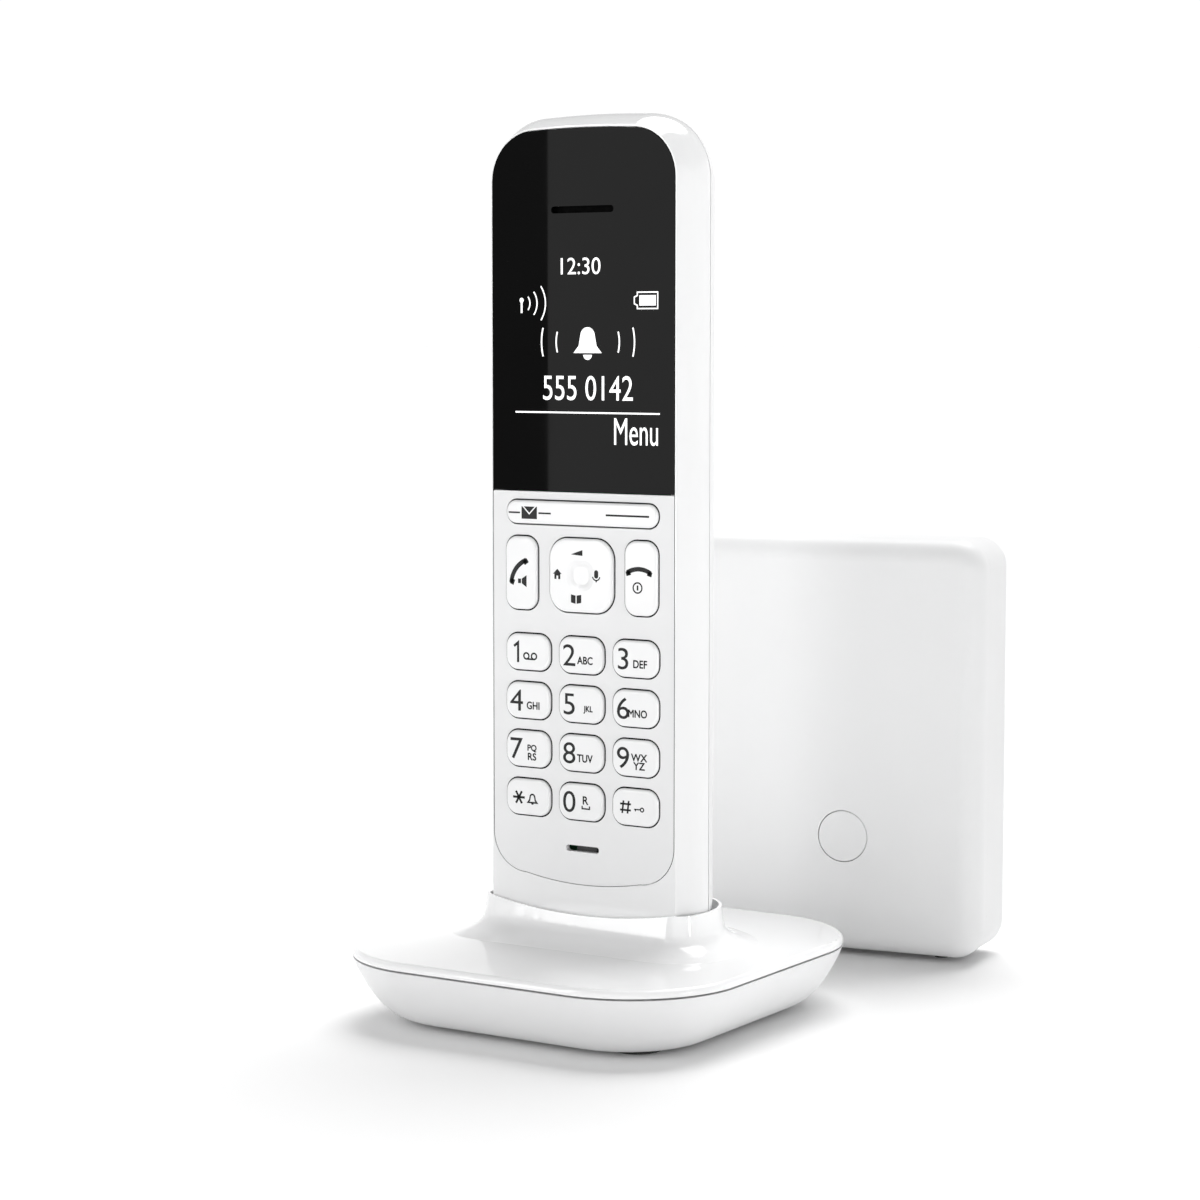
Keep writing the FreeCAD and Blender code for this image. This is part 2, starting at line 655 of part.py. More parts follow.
def collar():
    """The raised surround of the handset, which sweeps out into the plate all round."""
    top = COLLAR_TOP + 1
    rim = POCKET_GAP + COLLAR_WALL
    wires = []
    for step in range(COLLAR_STEPS + 1):
        angle = math.radians(90 * step / COLLAR_STEPS)
        height = PLATE_TOP - 0.05 + COLLAR_SWEEP_UP * (1 - math.cos(angle))
        lean = COLLAR_FLARE * (top - height) / (top - PLATE_TOP)
        wires.append(collar_section(rim + lean + COLLAR_SWEEP_OUT * (1 - math.sin(angle)), height))
    wall = top - height
    for step in range(1, COLLAR_STEPS):
        share = step / (COLLAR_STEPS - 1)
        wires.append(collar_section(rim + lean * (1 - share), height + wall * share))
    return Part.makeLoft(wires, True, False)


def cradle_top_cover():
    """The glossy plate with the collar that the handset stands in."""
    low = SEAM_HEIGHT + SEAM_GAP / 2
    slab = Part.Face(cradle_outline(0, low)).extrude(V(0, 0, PLATE_TOP - low))
    slab = slab.makeFillet(PLATE_EDGE, edges_at(slab, 2, PLATE_TOP))
    cover = joined([slab, collar()])
    tray = Part.Face(collar_section(POCKET_GAP + COLLAR_WALL, low - 1.4)).extrude(V(0, 0, 2))
    bosses = [rod(2.6, (x, y, 4.2), low - 4.2 + 0.5) for x, y in corner_spots(CRADLE_SCREW_AT)]
    cover = joined([cover, tray] + bosses)
    pocket = Part.Face(collar_section(POCKET_GAP, POCKET_FLOOR)).extrude(V(0, 0, 20))
    holes = [rod(1.25, (x, y, 4), 6) for x, y in corner_spots(CRADLE_SCREW_AT)]
    return less(cover, pocket, rim_cutter(), *contact_slots(CONTACT_SLOT_GAP), *holes)


def cradle_lower_shell():
    """The satin bowl under the seam, with screw pedestals and the socket's window."""
    shell = less(bowl(0, 0), bowl(BOWL_WALL, BOWL_WALL),
                 block(-50, 50, -50, 50, SEAM_HEIGHT - SEAM_GAP / 2, 30))
    pedestals = [rod(3.6, (x, y, 0.9), 3.3) for x, y in corner_spots(CRADLE_SCREW_AT)]
    shell = joined([shell] + pedestals)
    cutters = []
    for x, y in corner_spots(CRADLE_SCREW_AT):
        cutters.append(rod(1.45, (x, y, 0), 6))
        cutters.append(rod(2.7, (x, y, 0), 2.6))
    for x, y in corner_spots(FOOT_AT):
        cutters.append(rod(FOOT_RADIUS, (x, y, 0), FOOT_THICK))
    width, _, height = CRADLE_SOCKET_MOUTH
    middle = CRADLE_SOCKET_LOW + CRADLE_SOCKET[2] / 2
    cutters.append(block(-width / 2 - 0.4, width / 2 + 0.4, 30, 45, middle - height / 2 - 0.4,
                         middle + height / 2 + 0.4))
    body_width, body_depth, body_height = CRADLE_SOCKET
    cutters.append(block(-body_width / 2, body_width / 2, CRADLE_SOCKET_BACK - body_depth,
                         CRADLE_SOCKET_BACK, CRADLE_SOCKET_LOW, CRADLE_SOCKET_LOW + body_height))
    return less(shell, *cutters)


def cradle_feet():
    """Four round rubber pads."""
    return group(rod(FOOT_RADIUS, (x, y, 0), FOOT_THICK) for x, y in corner_spots(FOOT_AT))


def cradle_screws():
    """Four screws from below into the top cover's bosses."""
    screws = []
    for x, y in corner_spots(CRADLE_SCREW_AT):
        screw = joined([rod(2.4, (x, y, 1.1), 1.5), rod(1.25, (x, y, 2.6), 6.4)])
        slots = [block(x - 1.6, x + 1.6, y - 0.3, y + 0.3, 1, 1.8),
                 block(x - 0.3, x + 0.3, y - 1.6, y + 1.6, 1, 1.8)]
        screws.append(less(screw, *slots))
    return group(screws)


def cradle_ballast():
    """A steel plate that keeps the cradle from tipping."""
    return outline_block(*BALLAST)


def outline_block(half_width, low, high, radius, bottom, top):
    """A level plate with rounded corners."""
    wire = outline(half_width, low, high, radius, radius, level(bottom))
    return Part.Face(wire).extrude(V(0, 0, top - bottom))


def cradle_circuit_board():
    """The small board with the charging resistor and a chip."""
    board = outline_block(12.5, -8.0, 22.0, 1.5, 5.4, 6.6)
    chip = block(-3, 3, 8, 14, 6.6, 8.0)
    return joined([board, chip])


def cradle_contact(side):
    """A bent spring strip whose top is the charging contact."""
    width, depth = CONTACT_SIZE
    x0, x1 = side * PAD_X - width / 2, side * PAD_X + width / 2
    y0, y1 = CONTACT_Y - depth / 2, CONTACT_Y + depth / 2
    thick = 0.5
    arch = block(x0, x1, y0, y1, 9.0, CONTACT_TOP)
    arch = arch.makeFillet(1.6, [edge for edge in edges_at(arch, 2, CONTACT_TOP)
                                 if edge.BoundBox.YLength > 1])
    inside = block(x0 + thick, x1 - thick, y0 - 1, y1 + 1, 8.0, CONTACT_TOP - thick)
    inside = inside.makeFillet(1.1, [edge for edge in edges_at(inside, 2, CONTACT_TOP - thick)
                                     if edge.BoundBox.YLength > 1])
    tail_start = x1 - thick if side > 0 else x0 + thick
    tail = block(min(tail_start, tail_start + side * 4), max(tail_start, tail_start + side * 4),
                 y0, y1, 9.0, 9.0 + thick)
    return joined([less(arch, inside), tail])


def cradle_power_socket():
    """The socket in the cradle's back that the power lead plugs into."""
    width, depth, height = CRADLE_SOCKET
    body = block(-width / 2, width / 2, CRADLE_SOCKET_BACK - depth, CRADLE_SOCKET_BACK,
                 CRADLE_SOCKET_LOW, CRADLE_SOCKET_LOW + height)
    mouth_width, mouth_depth, mouth_height = CRADLE_SOCKET_MOUTH
    middle = CRADLE_SOCKET_LOW + height / 2
    mouth = block(-mouth_width / 2, mouth_width / 2, CRADLE_SOCKET_BACK - mouth_depth,
                  CRADLE_SOCKET_BACK + 1, middle - mouth_height / 2, middle + mouth_height / 2)
    return less(body, mouth)


def cradle_nodes():
    """Every cradle node, in the cradle's own frame."""
    return {
        "cradle_top_cover": cradle_top_cover(),
        "cradle_lower_shell": cradle_lower_shell(),
        "cradle_feet": cradle_feet(),
        "cradle_screws": cradle_screws(),
        "cradle_ballast": cradle_ballast(),
        "cradle_circuit_board": cradle_circuit_board(),
        "cradle_contact_left": cradle_contact(-1),
        "cradle_contact_right": cradle_contact(1),
        "cradle_power_socket": cradle_power_socket(),
    }


# ---- base station ----------------------------------------------------------------------------
def base_plate(inset, front, back):
    """The base station's rounded upright block between two depths, moved in by an inset."""
    return plate(BASE_WIDTH / 2 - inset, BASE_LOW + inset, BASE_LOW + BASE_HEIGHT - inset,
                 BASE_CORNER - inset, BASE_CORNER - inset, front, back)


def base_front_cover():
    """The front, rounded all round, with a round hole for the paging button."""
    cover = base_plate(0, 0, FRONT_DEPTH)
    cover = cover.makeFillet(FRONT_EDGE, edges_at(cover, 1, 0))
    hollow = base_plate(BASE_WALL, BASE_WALL, FRONT_DEPTH + 1)
    hollow = hollow.makeFillet(FRONT_EDGE - BASE_WALL, edges_at(hollow, 1, BASE_WALL))
    hole = rod(PAGING_RADIUS + PAGING_GAP, (PAGING_X, -1, PAGING_Z), 6, BACK)
    return less(cover, hollow, hole)


def socket_block(socket, grow=0.0):
    """The outside of one of the base station's sockets."""
    middle, width, height = socket
    return block(middle - width / 2 - grow, middle + width / 2 + grow,
                 BASE_DEPTH - SOCKET_BODY_DEPTH - grow, BASE_DEPTH,
                 BASE_SOCKET_LOW - grow, BASE_SOCKET_LOW + height + grow)


def socket_solid(socket, mouth):
    """A socket with its mouth to the back."""
    middle, _, height = socket
    mouth_width, mouth_height, mouth_depth = mouth
    centre = BASE_SOCKET_LOW + height / 2
    hole = block(middle - mouth_width / 2, middle + mouth_width / 2, BASE_DEPTH - mouth_depth,
                 BASE_DEPTH + 1, centre - mouth_height / 2, centre + mouth_height / 2)
    return less(socket_block(socket), hole)


def keyhole(x):
    """A hole to hang the box on a wall screw."""
    back = BASE_DEPTH - 3
    head = rod(4.0, (x, back, KEYHOLE_Z), 6, BACK)
    neck = block(x - 2.0, x + 2.0, back, BASE_DEPTH + 3, KEYHOLE_Z, KEYHOLE_Z + 7)
    return head.fuse(neck)


def base_screw_spots():
    """The four screws of the box."""
    x, low, high = BASE_WIDTH / 2 - 7.0, BASE_LOW + 24.0, BASE_LOW + BASE_HEIGHT - 8.0
    return [(side * x, z) for side in (-1, 1) for z in (low, high)]


def base_foot_spots():
    """The four feet under the box: X and depth."""
    x = BASE_WIDTH / 2 - BASE_FOOT_IN
    return [(side * x, depth) for side in (-1, 1) for depth in (FRONT_DEPTH + 3.0, BASE_DEPTH - 6.0)]


def base_rear_shell():
    """The back with a lip inside the front cover, sockets' windows and keyholes."""
    front = FRONT_DEPTH + BASE_SEAM_GAP
    shell = base_plate(0.15, front, BASE_DEPTH)
    shell = shell.makeFillet(REAR_EDGE, edges_at(shell, 1, BASE_DEPTH))
    lip = base_plate(BASE_WALL + 0.1, FRONT_DEPTH - 2.4, front + 1)
    shell = joined([shell, lip])
    hollow = base_plate(BASE_WALL + 0.1 + LIP_WALL, FRONT_DEPTH - 4, BASE_DEPTH - BASE_WALL)
    posts = [rod(3.0, (x, 8.6, z), BASE_DEPTH - 9.6, BACK) for x, z in base_screw_spots()]
    shell = joined([less(shell, hollow)] + posts)
    cutters = [socket_block(LINE_SOCKET), socket_block(POWER_SOCKET)]
    cutters += [keyhole(side * KEYHOLE_X) for side in (-1, 1)]
    cutters += [rod(1.4, (x, 5, z), 20, BACK) for x, z in base_screw_spots()]
    cutters += [rod(2.6, (x, 14, z), 10, BACK) for x, z in base_screw_spots()]
    cutters += [rod(BASE_FOOT_RADIUS, (x, y, 0), BASE_LOW + 1.0) for x, y in base_foot_spots()]
    return less(shell, *cutters)


def base_screws():
    """Four screws from the back."""
    screws = []
    for x, z in base_screw_spots():
        screw = joined([rod(1.2, (x, 9.0, z), 5.0, BACK), rod(2.3, (x, 14.0, z), 1.6, BACK)])
        slots = [block(x - 1.5, x + 1.5, 15.0, 17, z - 0.3, z + 0.3),
                 block(x - 0.3, x + 0.3, 15.0, 17, z - 1.5, z + 1.5)]
        screws.append(less(screw, *slots))
    return group(screws)


def base_feet():
    """Four small rubber nubs."""
    return group(rod(BASE_FOOT_RADIUS, (x, y, 0), BASE_LOW + 1.0) for x, y in base_foot_spots())


def paging_button():
    """The round button that rings the handset, with a stem behind it."""
    disc = rod(PAGING_RADIUS, (PAGING_X, 0, PAGING_Z), PAGING_THICK, BACK)
    disc = disc.makeFillet(0.25, edges_at(disc, 1, 0))
    flange = rod(PAGING_RADIUS + 0.9, (PAGING_X, BASE_WALL + 0.25, PAGING_Z), 0.9, BACK)
    neck = rod(PAGING_RADIUS - 0.4, (PAGING_X, 1, PAGING_Z), 2, BACK)
    stem = rod(1.6, (PAGING_X, 3, PAGING_Z), 3.8, BACK)
    return joined([disc, neck, flange, stem])


def paging_switch():
    """The small switch on the board that the paging button presses."""
    front = BASE_BOARD_DEPTH
    can = block(PAGING_X - 3, PAGING_X + 3, front - 3.2, front, PAGING_Z - 3, PAGING_Z + 3)
    return joined([can, rod(1.5, (PAGING_X, front - 4.4, PAGING_Z), 1.5, BACK)])


def base_circuit_board():
    """The base station's main board."""
    width, height, thick = BASE_BOARD
    low = BASE_LOW + (BASE_HEIGHT - height) / 2
    board = plate(width / 2, low, low + height, 1.5, 1.5, BASE_BOARD_DEPTH, BASE_BOARD_DEPTH + thick)
    notches = [rod(3.4, (x, 10, z), 6, BACK) for x, z in base_screw_spots()]
    return less(board, *notches)


def base_shield_can():
    """The tinned can over the radio, on the board's front."""
    front = BASE_BOARD_DEPTH
    return block(-18, 6, front - 2.6, front, 50, 70)


def base_antennas():
    """Two bent aerials of sheet metal at the board's upper corners."""
    front = BASE_BOARD_DEPTH
    blades = []
    for side in (-1, 1):
        inner, outer = sorted((side * 12.0, side * 22.0))
        stalk = block(side * 16.0 - 0.8, side * 16.0 + 0.8, front - 5.0, front, 74.0, 74.6)
        blade = block(inner, outer, front - 5.4, front - 4.9, 74.0, 77.0)
        blades.append(joined([stalk, blade]))
    return group(blades)


def base_nodes():
    """Every base station node, in the base station's own frame."""
    return {
        "base_front_cover": base_front_cover(),
        "base_rear_shell": base_rear_shell(),
        "base_screws": base_screws(),
        "base_feet": base_feet(),
        "paging_button": paging_button(),
        "paging_switch": paging_switch(),
        "base_circuit_board": base_circuit_board(),
        "base_shield_can": base_shield_can(),
        "base_antennas": base_antennas(),
        "base_line_socket": socket_solid(LINE_SOCKET, LINE_MOUTH),
        "base_power_socket": socket_solid(POWER_SOCKET, POWER_MOUTH),
    }


# ---- everything in its place -----------------------------------------------------------------
def placed_nodes():
    """Every node where it stands in the set."""
    handset_place = CRADLE_PLACE + V(0, FACE_BEHIND_CENTRE, HANDSET_BOTTOM)
    turned = FreeCAD.Rotation(UP, BASE_TURN)
    base_place = BASE_RIGHT_CORNER - turned.multVec(V(BASE_WIDTH / 2, 0, 0))
    groups = (
        (handset_nodes(), FreeCAD.Placement(handset_place, FreeCAD.Rotation())),
        (cradle_nodes(), FreeCAD.Placement(CRADLE_PLACE, FreeCAD.Rotation())),
        (base_nodes(), FreeCAD.Placement(base_place, turned)),
    )
    nodes = {}
    for members, placement in groups:
        for name, shape in members.items():
            nodes[name] = shape.copy()
            nodes[name].Placement = placement.multiply(nodes[name].Placement)
    return nodes


os.makedirs("parts", exist_ok=True)
whole = FreeCAD.BoundBox()
for node_name, node_shape in placed_nodes().items():
    node_shape.exportStep("parts/" + node_name + ".step")
    whole.add(node_shape.BoundBox)
    print(node_name, "valid" if node_shape.isValid() else "INVALID", len(node_shape.Solids),
          "solids", round(node_shape.Volume, 1), "mm3")
print("size", round(whole.XLength, 2), round(whole.YLength, 2), round(whole.ZLength, 2))
print("low corner", round(whole.XMin, 3), round(whole.YMin, 3), round(whole.ZMin, 3))
print("high corner", round(whole.XMax, 3), round(whole.YMax, 3), round(whole.ZMax, 3))
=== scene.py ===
"""Looks of the cordless phone, its charging cradle and its base station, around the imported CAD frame.

Lengths on the set are written in millimetres, as in the CAD, and turned into metres by MM. The lights and
the camera are placed in metres. Places come from the CAD nodes' boxes: H is the handset's own origin (its
middle, its face, its lower end).
"""

import json
import math
from collections import Counter

import bmesh
import bpy
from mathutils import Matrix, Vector


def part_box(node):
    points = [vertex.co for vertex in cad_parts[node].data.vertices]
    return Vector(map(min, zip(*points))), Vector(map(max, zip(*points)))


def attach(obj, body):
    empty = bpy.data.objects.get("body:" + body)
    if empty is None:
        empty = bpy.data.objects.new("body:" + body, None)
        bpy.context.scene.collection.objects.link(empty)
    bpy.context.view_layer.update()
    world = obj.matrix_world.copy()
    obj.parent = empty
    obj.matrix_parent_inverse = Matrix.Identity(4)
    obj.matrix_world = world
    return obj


MM = 0.001

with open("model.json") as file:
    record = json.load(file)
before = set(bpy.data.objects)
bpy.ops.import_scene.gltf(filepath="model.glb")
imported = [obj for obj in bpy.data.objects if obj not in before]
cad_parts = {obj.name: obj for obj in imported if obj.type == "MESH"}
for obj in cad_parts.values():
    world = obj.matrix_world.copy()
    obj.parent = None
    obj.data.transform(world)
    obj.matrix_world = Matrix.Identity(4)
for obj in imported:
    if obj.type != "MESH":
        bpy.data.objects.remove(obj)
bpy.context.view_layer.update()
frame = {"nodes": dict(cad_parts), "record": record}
NODES = frame["nodes"]


# ---- places ----------------------------------------------------------------------------------
def middle(node):
    """The middle of a CAD node's box."""
    low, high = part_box(node)
    return (low + high) / 2


handset_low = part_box("handset_front_frame")[0]
H = Vector((middle("handset_front_frame").x, handset_low.y, handset_low.z))


def on_handset(x, depth, z):
    """A point in the handset's millimetres: X from its middle, depth behind its face, Z from its end."""
    return H + Vector((x, depth, z)) * MM


def placed_on_handset(points):
    """Flat points in the handset's own millimetres, moved to the set's X and Z."""
    return [(H.x / MM + px, H.z / MM + pz) for px, pz in points]


# ---- node materials --------------------------------------------------------------------------
def new_material(name, **sockets):
    """A material with one Principled shader whose constant values are set on its own sockets."""
    material = bpy.data.materials.new(name)
    material.use_nodes = True
    tree = material.node_tree
    shader = tree.nodes["Principled BSDF"]
    for socket, value in sockets.items():
        shader.inputs[socket.replace("_", " ")].default_value = value
    return material, tree, shader


def node(tree, kind, **inputs):
    """A new node with some of its inputs set."""
    made = tree.nodes.new(kind)
    for name, value in inputs.items():
        made.inputs[name.replace("_", " ")].default_value = value
    return made


def object_coordinates(tree):
    """Coordinates that stay on the piece, in metres."""
    return node(tree, "ShaderNodeTexCoord").outputs["Object"]


def noise(tree, scale, detail=3.0, roughness=0.55):
    """Noise on the piece; scale is in waves per metre."""
    made = node(tree, "ShaderNodeTexNoise", Scale=scale, Detail=detail, Roughness=roughness)
    tree.links.new(object_coordinates(tree), made.inputs["Vector"])
    return made


def ramp(tree, source, stops):
    """A colour ramp of (position, colour) stops on a factor."""
    made = node(tree, "ShaderNodeValToRGB")
    elements = made.color_ramp.elements
    while len(elements) < len(stops):
        elements.new(0.5)
    for element, (position, colour) in zip(elements, stops):
        element.position = position
        element.color = (*colour, 1.0)
    tree.links.new(source, made.inputs["Fac"])
    return made.outputs["Color"]


def grey(value):
    """A neutral colour."""
    return (value, value, value)


def drive(tree, shader, socket, pattern, stops):
    """One of the shader's sockets follows a pattern's factor through a colour ramp."""
    tree.links.new(ramp(tree, pattern.outputs["Fac"], stops), shader.inputs[socket])


def bump(tree, shader, pattern, strength, distance):
    """Bump on the shader from a pattern's factor; distance is in metres."""
    made = node(tree, "ShaderNodeBump", Strength=strength, Distance=distance)
    tree.links.new(pattern.outputs["Fac"], made.inputs["Height"])
    tree.links.new(made.outputs["Normal"], shader.inputs["Normal"])


# Moulded plastic: waves per metre of its colour drift and its uneven gloss, the shares of its roughness where
# it is glossiest and dullest, and the depth of its grain in metres.
DRIFT_WAVES, POLISH_WAVES = 28.0, 160.0
GLOSSIEST, DULLEST = 0.82, 1.18
GRAIN_DEPTH = 0.00002


def moulded_plastic(name, colour, rough, grain_waves, grain, variation, **sockets):
    """Moulded plastic: slow colour drift, uneven gloss and the tool's fine grain."""
    material, tree, shader = new_material(name, **sockets)
    drift = noise(tree, DRIFT_WAVES, 4.0)
    low = tuple(max(0.0, c - variation) for c in colour)
    high = tuple(min(1.0, c + variation) for c in colour)
    drive(tree, shader, "Base Color", drift, [(0.3, low), (0.7, high)])
    polish = noise(tree, POLISH_WAVES, 5.0)
    glossy, dull = grey(rough * GLOSSIEST), grey(rough * DULLEST)
    drive(tree, shader, "Roughness", polish, [(0.25, glossy), (0.75, dull)])
    grains = noise(tree, grain_waves, 2.0, 0.5)
    bump(tree, shader, grains, grain, GRAIN_DEPTH)
    return material


def brushed_metal(name, colour, rough, stretch):
    """Metal with fine lines along one direction."""
    material, tree, shader = new_material(name, Metallic=1.0)
    place = node(tree, "ShaderNodeMapping", Scale=stretch)
    tree.links.new(object_coordinates(tree), place.inputs["Vector"])
    lines = node(tree, "ShaderNodeTexNoise", Scale=900.0, Detail=4.0)
    tree.links.new(place.outputs["Vector"], lines.inputs["Vector"])
    low = tuple(c * 0.82 for c in colour)
    drive(tree, shader, "Base Color", lines, [(0.3, low), (0.7, colour)])
    drive(tree, shader, "Roughness", lines, [(0.3, grey(rough * 0.8)), (0.7, grey(rough * 1.3))])
    bump(tree, shader, lines, 0.25, 0.00001)
    return material


def circuit_board():
    """Green solder mask in two greens, in a raised pattern like copper tracks."""
    material, tree, shader = new_material("board_green", Roughness=0.38)
    tracks = node(tree, "ShaderNodeTexBrick", Scale=260.0, Mortar_Size=0.06)
    tree.links.new(object_coordinates(tree), tracks.inputs["Vector"])
    drive(tree, shader, "Base Color", tracks, [(0.0, (0.02, 0.14, 0.06)), (1.0, (0.05, 0.26, 0.12))])
    bump(tree, shader, tracks, 0.3, 0.00003)
    return material


def black_window():
    """Glossy black front glass."""
    material, tree, shader = new_material("window_black", IOR=1.36, Specular_IOR_Level=0.085)
    drift = noise(tree, 40.0)
    drive(tree, shader, "Base Color", drift, [(0.3, grey(0.0008)), (0.7, grey(0.0014))])
    smears = noise(tree, 55.0, 5.0, 0.6)
    drive(tree, shader, "Roughness", smears, [(0.35, grey(0.01)), (0.75, grey(0.03))])
    return material


CLEAR_COAT = {"IOR": 1.5, "Coat_Weight": 0.3, "Coat_Roughness": 0.03}
SATIN_COAT = {"IOR": 1.5, "Coat_Weight": 0.3, "Coat_Roughness": 0.1}

# Each slot's colour, roughness, grain in waves per metre, strength of the grain, colour variation, and the
# other sockets.
PLASTICS = {
    "gloss_white_plastic": ((0.82, 0.822, 0.825), 0.08, 900.0, 0.02, 0.012, CLEAR_COAT),
    # Painted light: the cradle's gloss white is the handset's same plastic made lighter, so that the cradle's
    # plate reads brighter.
    "cradle_gloss_plastic": ((0.92, 0.922, 0.925), 0.08, 900.0, 0.02, 0.012, CLEAR_COAT),
    "satin_white_plastic": ((0.80, 0.802, 0.805), 0.36, 5200.0, 0.12, 0.012, {"IOR": 1.48}),
    "panel_plastic": ((0.78, 0.782, 0.786), 0.40, 5200.0, 0.12, 0.012, {"IOR": 1.48}),
    "key_plastic": ((0.84, 0.842, 0.846), 0.22, 2600.0, 0.04, 0.012, SATIN_COAT),
    "base_plastic": ((0.89, 0.892, 0.895), 0.46, 4200.0, 0.2, 0.012, {"IOR": 1.47}),
    "pivot_plastic": (grey(0.8), 0.4, 3000.0, 0.1, 0.012, {}),
    "silicone": ((0.72, 0.72, 0.71), 0.6, 2000.0, 0.2, 0.012, {}),
    "foot_rubber": (grey(0.03), 0.75, 2600.0, 0.5, 0.008, {}),
    "black_plastic": (grey(0.025), 0.45, 3600.0, 0.3, 0.006, {}),
    "display_black": (grey(0.012), 0.12, 1500.0, 0.02, 0.003, {}),
    "battery_wrap": ((0.12, 0.32, 0.24), 0.25, 900.0, 0.05, 0.02, {}),
}

# Each slot's colour, roughness, and how far its lines are squeezed along X, Y and Z.
METALS = {
    "gauze": (grey(0.004), 0.6, (1, 1, 1)),
    "steel": ((0.66, 0.66, 0.67), 0.26, (1, 1, 12)),
    "gold_plate": ((0.86, 0.66, 0.28), 0.2, (1, 6, 1)),
}

MATERIALS = {}
for slot_name, (*look, more) in PLASTICS.items():
    MATERIALS[slot_name] = moulded_plastic(slot_name, *look, **more)
for slot_name, look in METALS.items():
    MATERIALS[slot_name] = brushed_metal(slot_name, *look)
MATERIALS["board_green"] = circuit_board()
MATERIALS["window_black"] = black_window()

for entry in frame["record"]["subparts"]:
    mesh = NODES[entry["node"]].data
    mesh.materials.clear()
    mesh.materials.append(MATERIALS[entry["material_slot"]])


# ---- flat drawing, in millimetres ------------------------------------------------------------
def arc(x, z, radius, start, end, steps=16):
    """Points along an arc, from one angle in degrees to another."""
    angles = [math.radians(start + (end - start) * i / steps) for i in range(steps + 1)]
    return [(x + radius * math.cos(a), z + radius * math.sin(a)) for a in angles]


def disc(x, z, radius):
    """A filled circle."""
    return [arc(x, z, radius, 0, 360, 28)[:-1]]


def rectangle(x0, z0, x1, z1):
    """A filled rectangle."""
    return [[(x0, z0), (x1, z0), (x1, z1), (x0, z1)]]


SHARPEST_MITRE = 0.4  # the least cosine of half a turn that is still mitred in full


def ribbon(points, width, closed=False):
    """A line of even width along points, as one quad for each run, mitred at the corners."""
    count = len(points)
    sides = []
    for i, (x, z) in enumerate(points):
        before = points[i - 1] if i > 0 or closed else None
        after = points[(i + 1) % count] if i + 1 < count or closed else None
        runs = []
        if before:
            runs.append((x - before[0], z - before[1]))
        if after:
            runs.append((after[0] - x, after[1] - z))
        units = [(dx / math.hypot(dx, dz), dz / math.hypot(dx, dz)) for dx, dz in runs]
        tx, tz = sum(u[0] for u in units), sum(u[1] for u in units)
        length = math.hypot(tx, tz) or 1.0
        nx, nz = -tz / length, tx / length
        reach = width / 2 / max(SHARPEST_MITRE, abs(nx * -units[0][1] + nz * units[0][0]))
        sides.append(((x + nx * reach, z + nz * reach), (x - nx * reach, z - nz * reach)))
    quads = []
    for i in range(count if closed else count - 1):
        near, far = sides[i], sides[(i + 1) % count]
        quads.append([near[0], near[1], far[1], far[0]])
    return quads


def turned(shapes, angle, x, z):
    """Shapes turned by degrees about a point."""
    c, s = math.cos(math.radians(angle)), math.sin(math.radians(angle))
    return [[(x + (px - x) * c - (pz - z) * s, z + (px - x) * s + (pz - z) * c) for px, pz in shape]
            for shape in shapes]


def moved(shapes, dx, dz):
    """Shapes shifted."""
    return [[(px + dx, pz + dz) for px, pz in shape] for shape in shapes]


def lettering(words, height, x, z, align="CENTER", squeeze=1.0, bolder=0.0):
    """Characters of a height with their lower edge at z; align says which side of them is at x.

    Squeeze is the share of their natural width, and bolder how far the strokes are thickened to each side.
    """
    text = bpy.data.curves.new("lettering", "FONT")
    text.body = words
    text.resolution_u = 5
    made = bpy.data.objects.new("lettering", text)
    bpy.context.scene.collection.objects.link(made)
    mesh = bpy.data.meshes.new_from_object(made)
    spots = [(vertex.co.x, vertex.co.y) for vertex in mesh.vertices]
    faces = [tuple(polygon.vertices) for polygon in mesh.polygons]
    uses = Counter(key for polygon in mesh.polygons for key in polygon.edge_keys)
    bpy.data.objects.remove(made)
    bpy.data.meshes.remove(mesh)
    bpy.data.curves.remove(text)
    left, right = min(p[0] for p in spots), max(p[0] for p in spots)
    low, high = min(p[1] for p in spots), max(p[1] for p in spots)
    scale = height / (high - low)
    anchor = {"LEFT": left, "CENTER": (left + right) / 2, "RIGHT": right}[align]
    placed = [(x + (px - anchor) * scale * squeeze, z + (pz - low) * scale) for px, pz in spots]
    shapes = [[placed[i] for i in face] for face in faces]
    if bolder:
        for (start, end), count in uses.items():
            on_outline = count == 1
            if on_outline and placed[start] != placed[end]:
                shapes += ribbon([placed[start], placed[end]], 2 * bolder)
    return shapes


INK_THICK = 0.012
INK_SUNK = 0.004  # how far the ink's back is inside the face it lies on
SAME_POINT = 0.0005


def ink(name, shapes, front, body, material):
    """A thin print on an upright face at Y = front; shapes are millimetres in the set's own X and Z."""
    made = bmesh.new()
    for shape in shapes:
        corners = [made.verts.new((px * MM, front + INK_SUNK * MM, pz * MM)) for px, pz in shape]
        made.faces.new(corners)
    bmesh.ops.remove_doubles(made, verts=made.verts, dist=SAME_POINT * MM)
    grown = bmesh.ops.extrude_face_region(made, geom=made.faces[:])
    lifted = [item for item in grown["geom"] if isinstance(item, bmesh.types.BMVert)]
    bmesh.ops.translate(made, verts=lifted, vec=(0, -INK_THICK * MM, 0))
    bmesh.ops.recalc_face_normals(made, faces=made.faces)
    mesh = bpy.data.meshes.new(name)
    made.to_mesh(mesh)
    made.free()
    mesh.materials.append(material)
    piece = bpy.data.objects.new(name, mesh)
    bpy.context.scene.collection.objects.link(piece)
    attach(piece, body)


